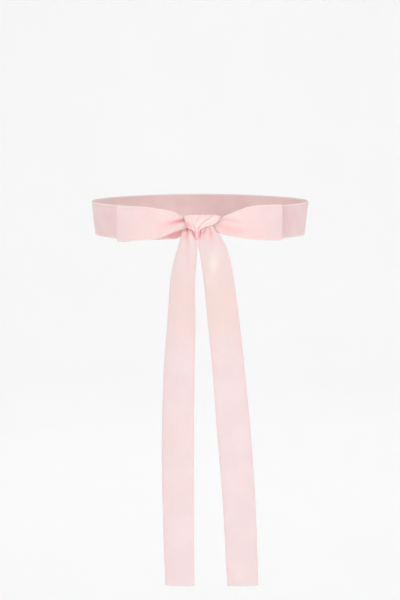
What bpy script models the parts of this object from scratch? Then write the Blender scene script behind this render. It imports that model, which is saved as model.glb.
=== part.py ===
"""A velvet sash worn round a waist and tied in a bow, with two hanging tails.

One strip of ribbon is divided into the stretches that show: the band round the waist, the two loops of
the bow, the gathered wrap of the knot and the two tails. Metres, +Z up. The origin is the middle of the
waist opening, at half the band's height. The bow faces -Y, and +X is to the right of someone who looks
at it.
"""

import math
from collections import namedtuple

import bmesh
import bpy

# Driving dimensions, in metres
RIBBON_WIDTH = 0.038
CLOTH = 0.0016
WAIST_WIDTH = 0.242
WAIST_DEPTH = 0.183
BAND_FLARE = 0.004
BAND_TILT = math.radians(1.3)
DIAGONAL_EASE = 0.04
BAND_CROWDING = 0.6

# The band's gather behind the knot
GATHERED_HEIGHT = 0.0186
GATHER_STARTS = 0.014
GATHER_ENDS = 0.078
GATHER_LIFT = 0.0012
GATHER_PLEAT = 0.0011
GATHER_PLEATS = 3

# The knot's wrap, a ring of gathered ribbon round the necks of the loops
WRAP_CLOTH = 0.0014
WRAP_OUT = 0.0113
WRAP_HEIGHT_AT = 0.0024
WRAP_HALF_DEPTH = 0.0095
WRAP_HALF_HEIGHT = 0.0119
WRAP_PLEAT = 0.0009

# Width of a loop's main fold, as a fraction of the ribbon's width, and the gathers across a tail's top
LOOP_FOLD_SPREAD = 0.12
TAIL_PLEATS = 2.5

# How far along a loop its direction in plan is read, each way, as a fraction of its length
DIRECTION_STEP = 0.0055

VELVET_ROUGHNESS = 0.9
VELVET_SHEEN = 0.4

# Cells along and across each stretch
BAND_CELLS = (100, 5)
LOOP_CELLS = (60, 8)
TAIL_CELLS = (36, 8)
WRAP_CELLS = (48, 16)
WRAP_INNER_CELLS = 5

MM = 0.001
WELD = 1e-7
BAND_BACK = -WAIST_DEPTH / 2

# Tables, in millimetres. `out` is the distance outwards from the band's outer face at the middle of the
# back. A loop runs from its neck in the knot along the front layer, round the outer fold and back.
# `lean` is how far its upper edge lies behind the lower one, and `fold_at` is where its main fold lies,
# from 0 at the lower edge to 1 at the upper one.
LoopStation = namedtuple("LoopStation", "x out low high lean fold_at fold_depth swell")

LEFT_LOOP = (
    LoopStation(-7.0, 13.5, 1.5, 11.0, 2.0, 0.70, 1.2, 0.0),
    LoopStation(-12.0, 13.8, 1.2, 11.3, 2.6, 0.72, 2.0, 0.3),
    LoopStation(-17.2, 15.2, 0.5, 11.5, 4.7, 0.70, 3.0, 0.8),
    LoopStation(-25.8, 18.9, -1.9, 17.7, 3.0, 0.55, 3.0, 1.0),
    LoopStation(-34.3, 21.0, -5.0, 20.7, 1.2, 0.47, 2.2, 1.0),
    LoopStation(-43.0, 20.5, -8.6, 22.3, 0.4, 0.40, 1.0, 0.8),
    LoopStation(-54.0, 17.5, -11.7, 23.7, 0.0, 0.38, 0.3, 0.5),
    LoopStation(-65.0, 13.0, -13.0, 24.1, 0.0, 0.38, 0.0, 0.3),
    LoopStation(-76.0, 6.0, -14.2, 23.7, 0.0, 0.38, 0.0, 0.0),
    LoopStation(-85.0, -2.5, -15.3, 22.8, 0.0, 0.38, 0.0, 0.0),
    LoopStation(-89.0, -7.5, -16.2, 22.0, 0.0, 0.38, 0.0, 0.0),
    LoopStation(-90.5, -11.0, -17.2, 21.2, 0.0, 0.38, 0.0, 0.0),
    LoopStation(-88.2, -13.8, -18.0, 20.5, 0.0, 0.38, 0.0, 0.0),
    LoopStation(-80.0, -13.0, -17.5, 20.8, 0.0, 0.38, 0.0, 0.0),
    LoopStation(-68.0, -9.0, -16.0, 21.0, 0.0, 0.40, 0.0, 0.3),
    LoopStation(-56.0, -4.0, -14.8, 20.8, 0.0, 0.42, 0.3, 0.5),
    LoopStation(-44.0, 0.8, -13.6, 19.8, 0.0, 0.45, 0.8, 0.8),
    LoopStation(-33.0, 4.0, -12.6, 17.6, 0.0, 0.50, 1.2, 0.8),
    LoopStation(-25.0, 5.8, -11.8, 13.8, 0.0, 0.55, 1.4, 0.6),
    LoopStation(-17.2, 7.2, -6.6, 10.3, 0.0, 0.60, 1.2, 0.3),
    LoopStation(-12.0, 7.8, -3.6, 10.2, 0.0, 0.60, 1.0, 0.0),
    LoopStation(-7.0, 8.0, -2.6, 10.0, 0.0, 0.60, 0.8, 0.0),
)

RIGHT_LOOP = (
    LoopStation(4.0, 13.5, 0.5, 11.2, 2.0, 0.75, 1.0, 0.0),
    LoopStation(11.0, 14.0, 0.0, 11.4, 3.0, 0.80, 1.6, 0.2),
    LoopStation(17.5, 15.0, -1.8, 11.2, 4.4, 0.82, 1.8, 0.4),
    LoopStation(21.8, 16.6, -3.8, 11.6, 5.0, 0.82, 2.0, 0.6),
    LoopStation(26.2, 18.6, -5.6, 14.2, 4.2, 0.80, 2.2, 0.8),
    LoopStation(34.3, 21.0, -7.5, 18.0, 1.6, 0.70, 1.8, 1.0),
    LoopStation(43.0, 20.5, -9.1, 21.5, 0.5, 0.62, 1.0, 0.8),
    LoopStation(51.6, 18.5, -10.8, 24.2, 0.0, 0.60, 0.4, 0.5),
    LoopStation(60.3, 15.5, -11.9, 25.4, 0.0, 0.60, 0.0, 0.3),
    LoopStation(69.0, 11.0, -13.0, 25.5, 0.0, 0.60, 0.0, 0.0),
    LoopStation(78.0, 4.5, -14.2, 25.2, 0.0, 0.60, 0.0, 0.0),
    LoopStation(84.5, -2.0, -15.0, 24.6, 0.0, 0.60, 0.0, 0.0),
    LoopStation(87.8, -6.5, -15.4, 24.0, 0.0, 0.60, 0.0, 0.0),
    LoopStation(89.2, -10.0, -15.7, 23.5, 0.0, 0.60, 0.0, 0.0),
    LoopStation(87.0, -12.6, -15.9, 23.2, 0.0, 0.60, 0.0, 0.0),
    LoopStation(79.0, -11.5, -15.5, 23.4, 0.0, 0.60, 0.0, 0.0),
    LoopStation(67.0, -7.5, -14.5, 23.0, 0.0, 0.60, 0.0, 0.3),
    LoopStation(55.0, -2.5, -12.8, 21.5, 0.0, 0.60, 0.3, 0.5),
    LoopStation(43.0, 1.6, -10.5, 18.5, 0.0, 0.58, 0.8, 0.8),
    LoopStation(33.0, 4.3, -8.8, 14.8, 0.0, 0.55, 1.2, 0.8),
    LoopStation(25.0, 6.0, -7.0, 11.2, 0.0, 0.52, 1.4, 0.6),
    LoopStation(17.0, 7.2, -4.5, 9.6, 0.0, 0.50, 1.2, 0.3),
    LoopStation(11.0, 7.7, -3.2, 10.0, 0.0, 0.50, 1.0, 0.0),
    LoopStation(4.0, 8.0, -2.6, 10.0, 0.0, 0.50, 0.8, 0.0),
)

# The wrap's two edges, by the angle round the ring from its top over the front, in degrees.
WrapStation = namedtuple("WrapStation", "angle left right")

WRAP = (
    WrapStation(0, -16.6, 22.0),
    WrapStation(15, -17.0, 22.4),
    WrapStation(50, -16.2, 19.6),
    WrapStation(85, -14.0, 13.6),
    WrapStation(100, -12.4, 8.9),
    WrapStation(118, -6.8, 2.6),
    WrapStation(132, -5.3, 0.8),
    WrapStation(150, -4.9, -0.1),
    WrapStation(180, -5.2, 0.8),
    WrapStation(215, -8.0, 6.0),
    WrapStation(250, -11.5, 12.5),
    WrapStation(290, -13.0, 16.0),
    WrapStation(330, -15.5, 20.0),
    WrapStation(360, -16.6, 22.0),
)

# Places of the wrap's valleys, as fractions from its left edge to its right one, at its gathered foot
# and at its top.
Valley = namedtuple("Valley", "at_foot at_top")
WRAP_VALLEYS = (
    Valley(0.20, 0.11),
    Valley(0.38, 0.36),
    Valley(0.52, 0.62),
    Valley(0.70, 0.84),
)

# A tail's left and right edges, from its top in the knot down to its hem. `cup` is how far the middle
# stands out from the edges and `pleat` the depth of the gathers.
TailStation = namedtuple("TailStation", "left left_z left_out right right_z right_out cup pleat")

LEFT_TAIL = (
    TailStation(-14.8, 2.6, 10.4, -7.2, 1.6, 10.4, 0.0, 0.2),
    TailStation(-18.8, -0.8, 12.0, -6.6, -2.2, 12.8, 0.4, 0.6),
    TailStation(-20.6, -5.5, 16.2, -6.4, -6.5, 16.8, 0.8, 1.3),
    TailStation(-21.5, -11.5, 18.2, -3.4, -11.8, 18.8, 1.2, 1.4),
    TailStation(-23.0, -18.0, 19.2, -2.0, -18.0, 19.8, 1.6, 1.2),
    TailStation(-28.2, -34.0, 19.8, -3.4, -34.0, 21.0, 2.4, 0.6),
    TailStation(-32.6, -60.0, 22.0, -5.3, -60.0, 24.5, 3.2, 0.2),
    TailStation(-35.3, -100.0, 28.0, -4.8, -100.0, 31.5, 3.8, 0.0),
    TailStation(-39.1, -150.0, 35.8, -5.8, -150.0, 40.0, 4.2, 0.0),
    TailStation(-41.2, -220.0, 41.0, -6.5, -220.0, 46.0, 4.5, 0.0),
    TailStation(-40.7, -300.0, 42.0, -6.7, -300.0, 47.0, 4.5, 0.0),
    TailStation(-38.1, -391.0, 41.0, -5.9, -389.5, 46.0, 4.5, 0.0),
)

RIGHT_TAIL = (
    TailStation(2.4, -1.2, 16.8, 11.0, 4.6, 16.9, 0.0, 0.2),
    TailStation(2.9, -4.4, 17.0, 15.2, 1.2, 18.4, 0.4, 0.7),
    TailStation(1.6, -8.6, 18.2, 19.6, -4.0, 19.6, 0.8, 1.3),
    TailStation(-0.4, -13.5, 19.2, 24.0, -10.5, 20.2, 1.2, 1.4),
    TailStation(-0.5, -19.0, 20.0, 28.0, -18.0, 20.6, 1.8, 1.2),
    TailStation(1.6, -34.0, 21.2, 33.0, -34.0, 20.4, 2.4, 0.6),
    TailStation(4.5, -60.0, 24.5, 37.5, -60.0, 22.5, 3.2, 0.2),
    TailStation(8.3, -100.0, 31.5, 42.8, -100.0, 28.0, 3.6, 0.0),
    TailStation(13.4, -150.0, 40.0, 48.3, -150.0, 36.0, 4.0, 0.0),
    TailStation(18.6, -220.0, 46.0, 55.0, -220.0, 41.5, 4.2, 0.0),
    TailStation(25.0, -300.0, 47.0, 60.6, -300.0, 42.5, 4.2, 0.0),
    TailStation(29.6, -389.5, 46.0, 64.1, -391.0, 41.5, 4.2, 0.0),
)


def eased(value):
    """0 below 0 and 1 above 1, with a smooth rise between."""
    value = min(max(value, 0.0), 1.0)
    return value * value * (3.0 - 2.0 * value)


def smooth_between(keys, rows, key):
    """The columns of `rows` read at `key`, on a smooth curve through every row."""
    last = len(keys) - 2
    span = next((i for i in range(last) if key < keys[i + 1]), last)
    width = keys[span + 1] - keys[span]
    part = (key - keys[span]) / width

    def slope(index, column):
        low = max(index - 1, 0)
        high = min(index + 1, len(keys) - 1)
        return (rows[high][column] - rows[low][column]) / (keys[high] - keys[low])

    start_weight = 2.0 * part**3 - 3.0 * part**2 + 1.0
    start_bend = part**3 - 2.0 * part**2 + part
    end_bend = part**3 - part**2
    return [
        start_weight * rows[span][column]
        + (1.0 - start_weight) * rows[span + 1][column]
        + start_bend * width * slope(span, column)
        + end_bend * width * slope(span + 1, column)
        for column in range(len(rows[0]))
    ]


def station(table, along):
    """The row at `along`, from 0 at the table's first row to 1 at its last."""
    keys = range(len(table))
    return type(table[0])(*smooth_between(keys, table, along * keys[-1]))


def band_point(along, across):
    """The band's middle surface. `along` goes once round from the back, where the sections crowd together,
    and `across` from low to high.
    """
    turn = 2.0 * math.pi * along
    angle = turn - BAND_CROWDING * math.sin(turn) - math.pi / 2.0
    ease = 1.0 - DIAGONAL_EASE * math.sin(2.0 * angle) ** 2
    grow = BAND_FLARE * (across - 0.5) - CLOTH / 2.0
    x = (WAIST_WIDTH / 2.0 + grow) * ease * math.cos(angle)
    y = (WAIST_DEPTH / 2.0 + grow) * ease * math.sin(angle)
    gather = 0.0
    if y < 0.0:
        gather = 1.0 - eased((abs(x) - GATHER_STARTS) / (GATHER_ENDS - GATHER_STARTS))
    height = RIBBON_WIDTH - (RIBBON_WIDTH - GATHERED_HEIGHT) * gather
    wave = 1.0 + math.cos(2.0 * math.pi * GATHER_PLEATS * across)
    y -= GATHER_PLEAT / 2.0 * wave * gather
    z = height * (across - 0.5) + GATHER_LIFT * gather - y * math.tan(BAND_TILT)
    return x, y, z


def loop_point(table, along, across):
    """A loop's middle surface, with its fold pressed in along the outward normal in plan."""
    here = station(table, along)
    before = station(table, max(along - DIRECTION_STEP, 0.0))
    after = station(table, min(along + DIRECTION_STEP, 1.0))
    run_x = after.x - before.x
    run_y = before.out - after.out
    length = math.hypot(run_x, run_y)
    side = 1.0 if table[0].x > 0.0 else -1.0
    normal_x = side * run_y / length
    normal_y = -side * run_x / length
    groove = math.exp(-(((across - here.fold_at) / LOOP_FOLD_SPREAD) ** 2))
    lift = here.swell * math.sin(math.pi * across) - here.fold_depth * groove
    x = here.x + lift * normal_x
    y = BAND_BACK / MM - here.out - here.lean * (0.5 - across) + lift * normal_y
    z = here.low + (here.high - here.low) * across
    return x * MM, y * MM, z * MM


def tail_point(table, along, across):
    """A tail's middle surface. `across` goes from its left edge to its right one."""
    here = station(table, along)
    cup = here.cup * (1.0 - (2.0 * across - 1.0) ** 2)
    wave = math.cos(2.0 * math.pi * TAIL_PLEATS * across)
    out = here.left_out + (here.right_out - here.left_out) * across + cup - here.pleat * wave
    x = here.left + (here.right - here.left) * across
    z = here.left_z + (here.right_z - here.left_z) * across
    return x * MM, BAND_BACK - out * MM, z * MM


def wrap_ridge(angle, across):
    """Height of the wrap's outer face over its valleys, from 0 in a valley to 1 between two."""
    to_top = 0.5 + 0.5 * math.cos(angle)
    edges = [0.0]
    edges += [v.at_foot + (v.at_top - v.at_foot) * to_top for v in WRAP_VALLEYS]
    edges += [1.0]
    for low, high in zip(edges, edges[1:]):
        if across <= high:
            return math.sin(math.pi * (across - low) / (high - low)) ** 2
    return 0.0


def wrap_point(angle, across, outer):
    """The wrap's outer face, with its pleats, or its plain inner face."""
    keys = [row.angle for row in WRAP]
    row = WrapStation(*smooth_between(keys, WRAP, math.degrees(angle)))
    x = (row.left + (row.right - row.left) * across) * MM
    thickness = 0.0 if outer else WRAP_CLOTH
    if outer:
        narrowness = min((row.right - row.left) * MM / RIBBON_WIDTH, 1.0)
        thickness = -WRAP_PLEAT * narrowness * (wrap_ridge(angle, across) - 0.5)
    y = BAND_BACK - WRAP_OUT - (WRAP_HALF_DEPTH - thickness) * math.sin(angle)
    z = WRAP_HEIGHT_AT + (WRAP_HALF_HEIGHT - thickness) * math.cos(angle)
    return x, y, z


def shaped_grid(name, cells, point, closed_along, closed_across, material):
    """A grid whose points are moved to `point`(along, across), each from 0 to 1."""
    shape = bmesh.new()
    bmesh.ops.create_grid(shape, x_segments=cells[0], y_segments=cells[1], size=1.0)
    for vertex in shape.verts:
        vertex.co = point(0.5 + vertex.co.x / 2.0, 0.5 + vertex.co.y / 2.0)
    if closed_along or closed_across:
        bmesh.ops.remove_doubles(shape, verts=shape.verts, dist=WELD)
        bmesh.ops.recalc_face_normals(shape, faces=shape.faces)
    mesh = bpy.data.meshes.new(name)
    shape.to_mesh(mesh)
    shape.free()
    mesh.shade_smooth()
    mesh.materials.append(material)
    piece = bpy.data.objects.new(name, mesh)
    collection.objects.link(piece)
    return piece


def cloth_stretch(name, cells, point, closed, material):
    """An open sheet of ribbon that Solidify makes a wall."""
    piece = shaped_grid(name, cells, point, closed, False, material)
    wall = piece.modifiers.new("Cloth", "SOLIDIFY")
    wall.thickness = CLOTH
    wall.offset = 0.0
    wall.use_even_offset = True
    return piece


def knot_wrap(material):
    """The ring of ribbon round the knot: pleated outside, plain inside, with a rim at each edge."""
    section = [(i / WRAP_CELLS[1], True) for i in range(WRAP_CELLS[1] + 1)]
    section += [(1.0 - i / WRAP_INNER_CELLS, False) for i in range(WRAP_INNER_CELLS + 1)]
    section.append(section[0])
    around = len(section) - 1

    def point(along, across):
        angle = 2.0 * math.pi * along
        place, outer = section[round(across * around)]
        return wrap_point(angle, place, outer)

    cells = (WRAP_CELLS[0], around)
    return shaped_grid("knot_wrap", cells, point, True, True, material)


def velvet(name, colour):
    material = bpy.data.materials.new(name)
    material.use_nodes = True
    shader = material.node_tree.nodes["Principled BSDF"]
    shader.inputs["Base Color"].default_value = (*colour, 1.0)
    shader.inputs["Roughness"].default_value = VELVET_ROUGHNESS
    shader.inputs["Metallic"].default_value = 0.0
    shader.inputs["Sheen Weight"].default_value = VELVET_SHEEN
    material.diffuse_color = (*colour, 1.0)
    return material


for old in list(bpy.data.objects):
    bpy.data.objects.remove(old, do_unlink=True)

collection = bpy.data.collections.new("velvet_sash")
bpy.context.scene.collection.children.link(collection)

band_velvet = velvet("band_velvet", (0.86, 0.64, 0.62))
bow_velvet = velvet("bow_velvet", (0.96, 0.74, 0.72))
knot_velvet = velvet("knot_velvet", (0.97, 0.70, 0.69))
tail_velvet = velvet("tail_velvet", (0.93, 0.75, 0.73))

cloth_stretch("waist_band", BAND_CELLS, band_point, True, band_velvet)
cloth_stretch(
    "bow_loop_left",
    LOOP_CELLS,
    lambda along, across: loop_point(LEFT_LOOP, along, across),
    False,
    bow_velvet,
)
cloth_stretch(
    "bow_loop_right",
    LOOP_CELLS,
    lambda along, across: loop_point(RIGHT_LOOP, along, across),
    False,
    bow_velvet,
)
knot_wrap(knot_velvet)
cloth_stretch(
    "tail_left",
    TAIL_CELLS,
    lambda along, across: tail_point(LEFT_TAIL, along, across),
    False,
    tail_velvet,
)
cloth_stretch(
    "tail_right",
    TAIL_CELLS,
    lambda along, across: tail_point(RIGHT_TAIL, along, across),
    False,
    tail_velvet,
)
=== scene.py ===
"""The looks of a velvet sash that is worn round a waist and tied in a bow with two hanging tails.

Each stretch of ribbon is a thin shell on the form of its solid, with its creases listed one by one. Metres,
+Z up. The bow faces -Y, and the origin is the middle of the waist opening. The tables are in
millimetres, and `out` in them is the distance outwards from the band's face at the middle of the back.
"""

import math
from collections import namedtuple

import bpy
import numpy as np
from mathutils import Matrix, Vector


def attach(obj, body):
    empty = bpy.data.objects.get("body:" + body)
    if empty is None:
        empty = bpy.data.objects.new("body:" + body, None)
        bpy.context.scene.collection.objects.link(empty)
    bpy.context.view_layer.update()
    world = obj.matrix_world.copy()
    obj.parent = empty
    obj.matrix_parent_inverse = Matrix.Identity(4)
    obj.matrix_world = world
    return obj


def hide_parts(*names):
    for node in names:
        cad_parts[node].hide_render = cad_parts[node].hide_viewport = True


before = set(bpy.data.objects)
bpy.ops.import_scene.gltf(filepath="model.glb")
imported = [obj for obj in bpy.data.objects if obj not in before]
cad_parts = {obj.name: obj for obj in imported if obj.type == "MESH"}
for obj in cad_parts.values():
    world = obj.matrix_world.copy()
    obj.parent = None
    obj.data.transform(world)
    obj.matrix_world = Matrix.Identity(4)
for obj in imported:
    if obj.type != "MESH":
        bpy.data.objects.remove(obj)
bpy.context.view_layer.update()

MM = 0.001

# The ribbon: its width, its thickness with the pile, its woven edges, how thin they are beside the
# pile, how far the pile's rise reaches to each side of their line, and how its rims are rounded
RIBBON_WIDTH = 0.038
CLOTH = 0.0013
SELVEDGE = 0.0014
SELVEDGE_THINNESS = 0.55
PILE_IN_EDGE = 0.0002
PILE_PAST_EDGE = 0.0003
PILE_RISE = PILE_IN_EDGE + PILE_PAST_EDGE
RIM_ROUNDING = 0.00022
RIM_SEGMENTS = 2
RIM_ANGLE = math.radians(50.0)

# The band round the waist, its outline drawn in a little at the diagonals. It is set in from the solid's
# middle, and its rows crowd at the gather.
WAIST_WIDTH = 0.242
WAIST_DEPTH = 0.183
BAND_BACK = -WAIST_DEPTH / 2
BAND_FLARE = 0.004
BAND_TILT = math.radians(1.3)
BAND_INSET = 0.0008
BAND_CROWDING = 0.6
DIAGONAL_EASE = 0.04

# The band's gather behind the knot
GATHERED_HEIGHT = 0.0172
GATHER_STARTS = 0.014
GATHER_ENDS = 0.078
GATHER_LIFT = 0.0004

# The knot's wrap, a ring of gathered ribbon round the necks of the loops: its place and size
WRAP_OUT = 0.0113
WRAP_HEIGHT_AT = 0.0024
WRAP_HALF_DEPTH = 0.0095
WRAP_HALF_HEIGHT = 0.0119

# Its wall, how far it stands out between its creases, how far and how sharply its edges roll in, how
# sharply they are pressed in, and how far its front folds take to fade in at its top and bottom
WRAP_CLOTH = 0.0014
WRAP_SWELL = 0.0004
WRAP_ROLL = 0.0013
WRAP_ROLL_POWER = 6
WRAP_PRESS_POWER = 5
WRAP_TURN = 0.002

# The points of a rolled edge: how far each is from the outer face to the inner one, and its bulge
WRAP_EDGE = 0.0003
WRAP_EDGE_POINTS = ((0.2, 0.7), (0.5, 1.0), (0.8, 0.7))

# How much shade is painted into the wrap's colour inside, on its edges and beside them, and how closely the
# last keeps to the edge
WRAP_INNER_PAINTED_SHADE = 0.9
WRAP_EDGE_PAINTED_SHADE = 0.5
WRAP_SIDE_PAINTED_SHADE = 0.3
WRAP_SIDE_POWER = 10

# How much of a loop's height its main fold takes
LOOP_FOLD_SPREAD = 0.12

# Flat length of the ribbon that goes over the knot
WRAP_LENGTH = 0.060

# Rows and columns of each shell. The wrap's inner face has every third column of its outer one. The
# ribbon's columns near an edge are in millimetres from it.
BAND_ROWS = 520
LOOP_ROWS = 260
TAIL_ROWS = 320
WRAP_ROWS = 220
WRAP_COLUMNS = 90
INNER_STEP = 3
EDGE_COLUMNS = (0.0, 0.3, 0.6, 1.0, 1.4, 1.7, 2.2)
MIDDLE_COLUMNS = 38

# How many trial steps there are for each row when the rows are spaced evenly, and the weld at a closed
# shell's seam
TRIAL_STEPS = 4
WELD = 1e-6

# A loop runs from its neck in the knot along the front layer, round the outer fold and back. `low` and
# `high` are its two edges, and `lean` is how far the upper one lies behind the lower one. `fold_at` is
# where its main fold lies, from 0 at the lower edge to 1 at the upper one, `fold_depth` how deep it is,
# and `swell` how far the middle stands out.
LoopStation = namedtuple("LoopStation", "x out low high lean fold_at fold_depth swell")

LEFT_LOOP = (
    LoopStation(-7.0, 13.5, 1.5, 11.0, 2.0, 0.70, 1.2, 0.0),
    LoopStation(-12.0, 13.8, 1.2, 11.3, 2.6, 0.72, 2.0, 0.3),
    LoopStation(-17.2, 15.4, 0.5, 11.5, 4.2, 0.72, 2.0, 1.2),
    LoopStation(-25.8, 19.1, -1.9, 17.7, 2.6, 0.53, 2.0, 1.2),
    LoopStation(-34.3, 21.0, -5.0, 20.7, 1.2, 0.45, 1.5, 1.0),
    LoopStation(-43.0, 20.5, -8.6, 22.3, 0.4, 0.40, 0.8, 0.8),
    LoopStation(-54.0, 17.5, -11.7, 23.7, 0.0, 0.38, 0.2, 0.5),
    LoopStation(-65.0, 13.0, -13.0, 24.1, 0.0, 0.38, 0.0, 0.3),
    LoopStation(-76.0, 6.0, -14.2, 23.7, 0.0, 0.38, 0.0, 0.0),
    LoopStation(-85.0, -2.5, -15.3, 22.8, 0.0, 0.38, 0.0, 0.0),
    LoopStation(-89.0, -7.5, -16.2, 22.0, 0.0, 0.38, 0.0, 0.0),
    LoopStation(-90.5, -11.0, -17.2, 21.2, 0.0, 0.38, 0.0, 0.0),
    LoopStation(-88.2, -13.8, -18.0, 20.5, 0.0, 0.38, 0.0, 0.0),
    LoopStation(-80.0, -13.0, -17.5, 20.8, 0.0, 0.38, 0.0, 0.0),
    LoopStation(-68.0, -9.0, -16.0, 21.0, 0.0, 0.40, 0.0, 0.3),
    LoopStation(-56.0, -4.0, -14.8, 20.8, 0.0, 0.42, 0.3, 0.5),
    LoopStation(-44.0, 0.8, -13.6, 19.8, 0.0, 0.45, 0.8, 0.8),
    LoopStation(-33.0, 4.0, -12.6, 17.6, 0.0, 0.50, 1.2, 0.8),
    LoopStation(-25.0, 5.8, -11.8, 13.8, 0.0, 0.55, 1.4, 0.6),
    LoopStation(-17.2, 7.2, -6.6, 10.3, 0.0, 0.60, 1.2, 0.3),
    LoopStation(-12.0, 7.8, -3.6, 10.2, 0.0, 0.60, 1.0, 0.0),
    LoopStation(-7.0, 8.0, -2.6, 10.0, 0.0, 0.60, 0.8, 0.0),
)

RIGHT_LOOP = (
    LoopStation(4.0, 13.5, 0.5, 11.2, 2.0, 0.75, 1.0, 0.0),
    LoopStation(11.0, 14.0, 0.0, 11.4, 3.0, 0.80, 1.6, 0.2),
    LoopStation(17.5, 15.3, -1.8, 11.2, 4.0, 0.82, 1.4, 0.8),
    LoopStation(21.8, 17.0, -3.8, 11.6, 3.8, 0.82, 1.4, 1.1),
    LoopStation(26.2, 18.8, -5.6, 14.2, 3.2, 0.80, 1.3, 1.1),
    LoopStation(34.3, 21.0, -7.5, 18.0, 1.6, 0.70, 1.0, 1.0),
    LoopStation(43.0, 20.5, -9.1, 21.5, 0.5, 0.62, 0.5, 0.8),
    LoopStation(51.6, 18.5, -10.8, 24.2, 0.0, 0.60, 0.2, 0.5),
    LoopStation(60.3, 15.5, -11.9, 25.4, 0.0, 0.60, 0.0, 0.3),
    LoopStation(69.0, 11.0, -13.0, 25.5, 0.0, 0.60, 0.0, 0.0),
    LoopStation(78.0, 4.5, -14.2, 25.2, 0.0, 0.60, 0.0, 0.0),
    LoopStation(84.5, -2.0, -15.0, 24.6, 0.0, 0.60, 0.0, 0.0),
    LoopStation(87.8, -6.5, -15.4, 24.0, 0.0, 0.60, 0.0, 0.0),
    LoopStation(89.2, -10.0, -15.7, 23.5, 0.0, 0.60, 0.0, 0.0),
    LoopStation(87.0, -12.6, -15.9, 23.2, 0.0, 0.60, 0.0, 0.0),
    LoopStation(79.0, -11.5, -15.5, 23.4, 0.0, 0.60, 0.0, 0.0),
    LoopStation(67.0, -7.5, -14.5, 23.0, 0.0, 0.60, 0.0, 0.3),
    LoopStation(55.0, -2.5, -12.8, 21.5, 0.0, 0.60, 0.3, 0.5),
    LoopStation(43.0, 1.6, -10.5, 18.5, 0.0, 0.58, 0.8, 0.8),
    LoopStation(33.0, 4.3, -8.8, 14.8, 0.0, 0.55, 1.2, 0.8),
    LoopStation(25.0, 6.0, -7.0, 11.2, 0.0, 0.52, 1.4, 0.6),
    LoopStation(17.0, 7.2, -4.5, 9.6, 0.0, 0.50, 1.2, 0.3),
    LoopStation(11.0, 7.7, -3.2, 10.0, 0.0, 0.50, 1.0, 0.0),
    LoopStation(4.0, 8.0, -2.6, 10.0, 0.0, 0.50, 0.8, 0.0),
)

# The wrap's two edges, how far it is pulled down and how far each edge is pressed in, by the angle round
# the ring from its top over the front, in degrees.
WrapStation = namedtuple("WrapStation", "angle left right drop left_in right_in")

WRAP = (
    WrapStation(0, -16.6, 22.0, 0.0, 0.0, 0.0),
    WrapStation(15, -17.0, 22.4, 0.0, 0.1, 0.0),
    WrapStation(35, -16.6, 21.6, 0.0, 0.5, 0.1),
    WrapStation(50, -15.9, 19.6, 0.0, 0.7, 0.6),
    WrapStation(62, -15.2, 17.2, 0.0, 0.7, 1.2),
    WrapStation(70, -14.7, 15.4, 0.0, 0.7, 1.1),
    WrapStation(78, -14.2, 12.4, 0.0, 0.6, 0.3),
    WrapStation(85, -13.7, 7.6, 0.0, 0.6, 0.1),
    WrapStation(92, -13.0, 3.8, 0.0, 0.6, 0.0),
    WrapStation(99, -11.2, 1.6, 0.0, 0.5, 0.0),
    WrapStation(107, -8.0, 0.1, 0.3, 0.3, 0.0),
    WrapStation(118, -6.1, -0.5, 0.9, 0.0, 0.0),
    WrapStation(132, -5.1, -0.7, 2.2, 0.0, 0.0),
    WrapStation(150, -4.6, -1.0, 3.2, 0.0, 0.0),
    WrapStation(180, -5.2, 0.8, 1.2, 0.0, 0.0),
    WrapStation(215, -8.0, 6.0, 0.0, 0.0, 0.0),
    WrapStation(250, -11.5, 12.5, 0.0, 0.0, 0.0),
    WrapStation(290, -13.0, 16.0, 0.0, 0.0, 0.0),
    WrapStation(330, -15.5, 20.0, 0.0, 0.0, 0.0),
    WrapStation(360, -16.6, 22.0, 0.0, 0.0, 0.0),
)

# A tail's left and right edges, from its top in the knot down to its hem. `cup` is how far the middle
# stands out from the edges.
TailStation = namedtuple("TailStation", "left left_z left_out right right_z right_out cup")

LEFT_TAIL = (
    TailStation(-14.8, 1.0, 13.8, -7.4, -0.4, 15.2, 0.0),
    TailStation(-18.6, -2.0, 15.4, -7.1, -2.3, 17.4, 0.3),
    TailStation(-20.2, -5.7, 17.1, -6.6, -5.4, 18.1, 0.8),
    TailStation(-21.0, -8.6, 17.9, -6.1, -8.2, 18.7, 1.1),
    TailStation(-21.8, -11.8, 18.6, -4.0, -11.4, 19.3, 1.3),
    TailStation(-22.5, -15.0, 18.9, -3.2, -14.8, 19.6, 1.5),
    TailStation(-23.6, -19.4, 19.2, -2.7, -19.4, 19.9, 1.7),
    TailStation(-28.2, -34.0, 19.8, -3.6, -34.0, 21.0, 2.4),
    TailStation(-32.6, -60.0, 22.0, -5.3, -60.0, 24.5, 3.2),
    TailStation(-35.3, -100.0, 28.0, -4.8, -100.0, 31.5, 3.8),
    TailStation(-39.1, -150.0, 35.8, -5.8, -150.0, 40.0, 4.2),
    TailStation(-41.2, -220.0, 41.0, -6.5, -220.0, 46.0, 4.5),
    TailStation(-40.7, -300.0, 42.0, -6.7, -300.0, 47.0, 3.8),
    TailStation(-38.1, -390.6, 42.0, -5.9, -390.2, 46.0, 2.2),
)

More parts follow.
